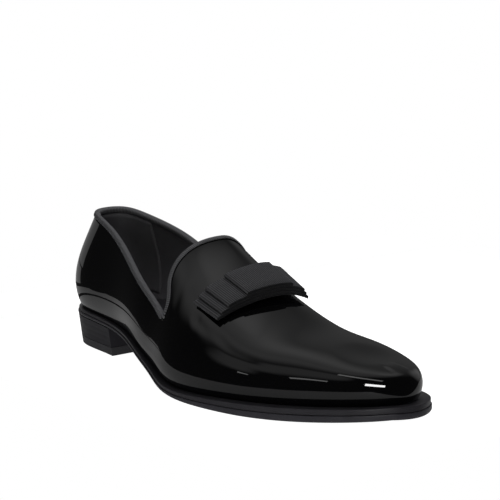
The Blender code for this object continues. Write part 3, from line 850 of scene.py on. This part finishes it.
def slab(levels, last_rib, stations):
    """A closed slab through outlines at rising levels, up to the toe or to a straight end face."""
    mesh = bmesh.new()
    rows = len(levels) - 1

    def side_wall(u, w):
        return blend_levels(levels, (w + 1) / 2 * rows, lambda level: ring_point(u, last_rib, level))

    def cap(level):
        def place(u, w):
            share = (u + 1) / 2
            return ring_point(np.where(w < 0, -share, share), last_rib, level)
        return place

    def end_face(u, w):
        ends = np.sign(u)
        return blend_levels(levels, (w + 1) / 2 * rows, lambda level: ring_point(ends, last_rib, level))

    patch(mesh, 2 * stations, rows, side_wall)
    patch(mesh, stations, 1, cap(levels[0]))
    patch(mesh, stations, 1, cap(levels[-1]))
    if last_rib < 1:
        patch(mesh, 1, rows, end_face)
    close_seams(mesh)
    return mesh


def moved(function, amount):
    """The same function of x, moved by a fixed amount."""
    return lambda x: function(x) + amount


def fixed(amount):
    """The same amount at every x."""
    return lambda x: np.full_like(x, amount)


def make_outsole():
    """The outsole with an eased lower edge, and its raised middle inside the welt."""
    proud = moved(margin, OUTSOLE_PROUD)
    top = moved(welt_foot, -GAP)
    levels = []
    for turn in np.linspace(0, np.pi / 2, ROUND_STEPS + 1):
        levels.append((moved(proud, OUTSOLE_BEVEL * (np.sin(turn) - 1)),
                       moved(underside, OUTSOLE_BEVEL * (1 - np.cos(turn)))))
    for turn in np.linspace(0, np.pi / 2, ROUND_STEPS + 1):
        levels.append((moved(proud, OUTSOLE_ROUND * (np.cos(turn) - 1)),
                       moved(top, OUTSOLE_ROUND * (np.sin(turn) - 1))))
    levels.append((fixed(WELT_INNER - GAP), top))
    levels.append((fixed(WELT_INNER - GAP), moved(feather_z, -GAP)))
    leather = painted_edge("inked_sole_leather", "#2b2a2e", "#36353a", .36, .5)
    add_piece("outsole_edge", slab(levels, 1, SOLE_STATIONS), [leather], ["outsole"])


def make_welt():
    """The welt: a strip round the whole shoe with a rounded upper edge."""
    outer = moved(margin, -WELT_SET_BACK)
    top = moved(feather_z, -GAP)
    section = [(outer, welt_foot)]
    for turn in np.linspace(0, np.pi / 2, ROUND_STEPS + 1):
        section.append((moved(outer, WELT_SET_BACK * (np.cos(turn) - 1)),
                        moved(top, WELT_SET_BACK * (np.sin(turn) - 1))))
    section += [(fixed(WELT_INNER), top), (fixed(WELT_INNER), welt_foot)]

    def place(u, w):
        corner = np.rint((w + 1) / 2 * len(section)) % len(section)
        return blend_levels(section, corner, lambda level: ring_point(u, 1, level))

    mesh = bmesh.new()
    patch(mesh, 2 * SOLE_STATIONS, len(section), place)
    close_seams(mesh)
    leather = painted_edge("inked_welt_leather", "#28272a", "#333236", .34, .5)
    add_piece("welt_strip", mesh, [leather], ["welt"])


def make_insole():
    """The insole with its sock of lining leather, rounded at the top edge."""
    inset = fixed(INSOLE_INSET)
    foot, top = moved(feather_z, GAP), moved(feather_z, GAP + INSOLE_HEIGHT)
    levels = [(inset, foot)]
    for turn in np.linspace(0, np.pi / 2, ROUND_STEPS + 1):
        levels.append((fixed(INSOLE_INSET + INSOLE_ROUND * (np.cos(turn) - 1)),
                       moved(top, INSOLE_ROUND * (np.sin(turn) - 1))))
    leather = lining_leather("black_sock_leather", "#333235", "#3e3d40", .55, 1.0)
    add_piece("sock_lining", slab(levels, 1, SOLE_STATIONS), [leather], ["insole"])


def make_heel():
    """The stacked heel block with fine grooves between its lifts, and the rubber top lift below."""
    last_rib = float(rib_of(HEEL_BREAST_X))
    foot = TOP_LIFT_HEIGHT + GAP
    narrow = -HEEL_TAPER * HEEL_TAPER_SHARE

    def block_level(share, groove):
        def height(x):
            return foot + (underside(x) - GAP - foot) * share
        return moved(margin, narrow * (1 - share) - groove), height

    shares = [(0, 0)]
    for seam in np.arange(1, HEEL_LIFTS) / HEEL_LIFTS:
        shares += [(seam - LIFT_GROOVE_SHARE, 0), (seam, LIFT_GROOVE), (seam + LIFT_GROOVE_SHARE, 0)]
    shares.append((1, 0))
    levels = [block_level(share, groove) for share, groove in shares]
    stack = painted_edge("inked_heel_stack", "#1b1a1e", "#242328", .46, .6)
    add_piece("heel_stack", slab(levels, last_rib, HEEL_STATIONS), [stack], ["heel_block"],
              sharp_angle=50)
    lift = [(moved(margin, -HEEL_TAPER - TOP_LIFT_BEVEL), fixed(0.0)),
            (moved(margin, -HEEL_TAPER), fixed(TOP_LIFT_BEVEL)),
            (moved(margin, narrow), fixed(TOP_LIFT_HEIGHT))]
    add_piece("heel_lift", slab(lift, last_rib, HEEL_STATIONS), [moulded_rubber()],
              ["heel_top_lift"])


def vamp_z(x, y):
    """Height of the vamp's outer face over a point of the plan, found by halving."""
    rib = rib_of(x)
    axis = column("axis", x)
    side = np.where(y < axis, -1, 1)
    low, high = np.full_like(x, 0.5), np.ones_like(x)
    for _ in range(HALVINGS):
        middle = (low + high) / 2
        wider = np.abs(last_point(rib, middle, side)[..., 1] - axis) > np.abs(y - axis)
        low, high = np.where(wider, middle, low), np.where(wider, high, middle)
    return last_point(rib, high, side)[..., 2]


def bow_form(x, y):
    """Height of the bow's underside from its peak: arched across the foot, falling to the toe."""
    radius = np.where(y < BOW_PEAK_Y, BOW_NEAR_RADIUS, BOW_FAR_RADIUS)
    slope = BOW_SLOPE + BOW_TWIST * y
    return -(y - BOW_PEAK_Y) ** 2 / (2 * radius) - slope * (x - BOW_X)


def bow_seat():
    """Height of the bow's peak that leaves the gap to the vamp where the two come closest."""
    columns, rows = BOW_SEAT_POINTS
    reach = np.linspace(-BOW_HALF_WIDTH, BOW_HALF_WIDTH, columns)
    x, y = np.meshgrid(BOW_X + reach, np.linspace(*BOW_ROWS[0], rows))
    return float(np.max(vamp_z(x, y) - bow_form(x, y))) + GAP


def make_bow():
    """The four flat loops of ribbed ribbon, stacked from the longest up."""
    seat = bow_seat()
    bend = (RIBBON + LOOP_SPACE) / 2
    corners = np.array(RIBBON_CORNERS)
    # Share of the way round the ribbon's section past which its edges and inner face are painted dark as
    # shade
    shade_start = RIBBON_FACE_END / len(corners)
    for layer, row in enumerate(BOW_ROWS):
        loop = dict(zip(BOW_COLUMNS, row))
        middle_height = layer * (2 * RIBBON + LOOP_SPACE + GAP) + RIBBON / 2 + bend
        run = loop["far"] - loop["near"]
        around = 2 * run + 2 * np.pi * bend
        ribs = int(round(around / RIBBON_RIB))
        stations = ribs * RIBBON_RIB_POINTS
        # Middle line of the flat loop: along the top, round the far end, back below, round the near end
        reach = np.arange(stations) / stations * around
        past_far = np.clip(reach - run, 0, np.pi * bend)
        past_near = np.clip(reach - 2 * run - np.pi * bend, 0, np.pi * bend)
        below = np.clip(reach - run - np.pi * bend, 0, run)
        along = loop["near"] + np.minimum(reach, run) - below
        turn = np.pi / 2 - past_far / bend - past_near / bend
        out_y, out_z = np.cos(turn), np.sin(turn)
        cords = np.abs(np.sin(np.pi * np.arange(stations) / RIBBON_RIB_POINTS)) * RIBBON_RIB_HEIGHT

        def place(u, w):
            station = np.rint((u + 1) / 2 * stations).astype(int) % stations
            corner = corners[np.rint((w + 1) / 2 * len(corners)).astype(int) % len(corners)]
            x = BOW_X + corner[:, 0] * BOW_HALF_WIDTH
            away = bend + corner[:, 1] * RIBBON / 2 + np.where(corner[:, 1] > 0, cords[station], 0)
            y = along[station]
            z = seat + bow_form(x, y) + middle_height + out_z[station] * away
            return np.stack([x, y + out_y[station] * away, z], -1)

        mesh = bmesh.new()
        patch(mesh, stations, len(corners), place)
        close_seams(mesh)
        # The loop's silk colours: the darker is painted shade in the furrows, the lighter a painted highlight
        # on the cords
        silk = ribbed_silk(f"ribbed_silk_{layer + 1}", "#080809", "#444447", around, 4 * BOW_HALF_WIDTH,
                           around / ribs, shade_start)
        name = f"ribbon_loop_{layer + 1}"
        piece = add_piece(name, mesh, [silk], [f"bow_loop_{layer + 1}"], sharp_angle=50)


# Stage


def make_floor():
    """White sheets that glow, so that they stay white round the shoe, and that the gloss sees dimmer."""
    mesh = bmesh.new()
    for sheet_x in FLOOR_SHEETS_X:
        patch(mesh, 2, 2, lambda u, w: np.stack([
            np.interp(u, (-1, 1), sheet_x), np.interp(w, (-1, 1), FLOOR_Y), 0 * u], -1))
    data = bpy.data.meshes.new("floor")
    mesh.to_mesh(data)
    mesh.free()
    material, tree, shader = new_finish("white_paper_sheet", {
        "Base Color": linear("#b4b4b4"), "Roughness": .7, "Specular IOR Level": .2,
        "Emission Color": linear("#ffffff")})
    mirrored = add_node(tree, "ShaderNodeLightPath").outputs["Is Glossy Ray"]
    glow = add_node(tree, "ShaderNodeMapRange", {"To Min": FLOOR_GLOW, "To Max": FLOOR_GLOW_MIRRORED},
                    {"Value": mirrored})
    tree.links.new(glow.outputs["Result"], shader.inputs["Emission Strength"])
    data.materials.append(material)
    floor = bpy.data.objects.new("floor", data)
    bpy.context.scene.collection.objects.link(floor)


def face(item, spot, aim, roll=0):
    """Put a lamp or the camera at a spot and turn it to what it aims at."""
    item.location = to_frame(spot)
    turn = (Vector(to_frame(aim)) - item.location).to_track_quat("-Z", "Y")
    item.rotation_euler = (turn @ Quaternion((0, 0, 1), np.radians(roll))).to_euler()


def direction(azimuth, elevation):
    """The way to a place given as degrees round from +X and degrees up."""
    round_way, up_way = np.radians([azimuth, elevation])
    return np.array([np.cos(round_way) * np.cos(up_way), np.sin(round_way) * np.cos(up_way), np.sin(up_way)])


def make_lamps():
    """Area lamps, each facing the shoe."""
    for row in LAMP_ROWS:
        lamp = dict(zip(LAMP_COLUMNS, row))
        data = bpy.data.lights.new(lamp["name"], "AREA")
        data.shape = "RECTANGLE"
        data.size, data.size_y = lamp["width"], lamp["height"]
        data.energy = lamp["brightness"] * np.pi * lamp["width"] * lamp["height"]
        item = bpy.data.objects.new(lamp["name"], data)
        bpy.context.scene.collection.objects.link(item)
        item.visible_camera = False
        item.visible_glossy = lamp["mirrored"]
        item.visible_diffuse = not lamp["mirrored"]
        way = direction(lamp["azimuth"], lamp["elevation"])
        face(item, np.array(LAMP_AIM) + way * lamp["distance"] / MM, LAMP_AIM, lamp["roll"])


def make_room():
    """A dim room round a white background: the lens sees white, the gloss mirrors the dim room."""
    world = bpy.data.worlds.new("studio")
    bpy.context.scene.world = world
    world.use_nodes = True
    tree = world.node_tree
    tree.nodes.clear()
    way = add_node(tree, "ShaderNodeTexCoord").outputs["Generated"]
    strength = None
    for row in GLOW_ROWS:
        glow = dict(zip(GLOW_COLUMNS, row))
        middle = direction(glow["azimuth"], glow["elevation"])
        near = add_node(tree, "ShaderNodeVectorMath", {1: middle}, {0: way}, operation="DOT_PRODUCT")
        edges = np.cos(np.radians([glow["edge"], glow["middle"]]))
        part = add_node(tree, "ShaderNodeMapRange",
                        {"From Min": edges[0], "From Max": edges[1], "To Max": glow["brightness"]},
                        {"Value": near.outputs["Value"]}, interpolation_type="SMOOTHSTEP").outputs["Result"]
        if strength is None:
            strength = add_node(tree, "ShaderNodeMath", {1: ROOM_BRIGHTNESS}, {0: part}).outputs[0]
        else:
            strength = add_node(tree, "ShaderNodeMath", None, {0: strength, 1: part}).outputs[0]
    room = add_node(tree, "ShaderNodeBackground", {"Color": linear("#ffffff")}, {"Strength": strength})
    backdrop = add_node(tree, "ShaderNodeBackground", {"Color": linear("#ffffff"), "Strength": 1.0})
    seen = add_node(tree, "ShaderNodeLightPath").outputs["Is Camera Ray"]
    both = add_node(tree, "ShaderNodeMixShader", None, {0: seen, 1: room.outputs[0], 2: backdrop.outputs[0]})
    add_node(tree, "ShaderNodeOutputWorld", None, {"Surface": both.outputs[0]})


def make_camera():
    """The camera at the photograph's viewing angle."""
    data = bpy.data.cameras.new("camera")
    data.sensor_width = CAMERA_SENSOR
    data.lens = CAMERA_LENS
    data.clip_end = CAMERA_REACH
    camera = bpy.data.objects.new("camera", data)
    bpy.context.scene.collection.objects.link(camera)
    face(camera, CAMERA_EYE, CAMERA_AIM)
    bpy.context.scene.camera = camera


make_camera()
make_upper()
make_heel_grip()
make_grip_stitches()
make_binding()
make_outsole()
make_welt()
make_insole()
make_heel()
make_bow()
make_floor()
make_lamps()
make_room()
bpy.context.scene.view_settings.view_transform = "Standard"
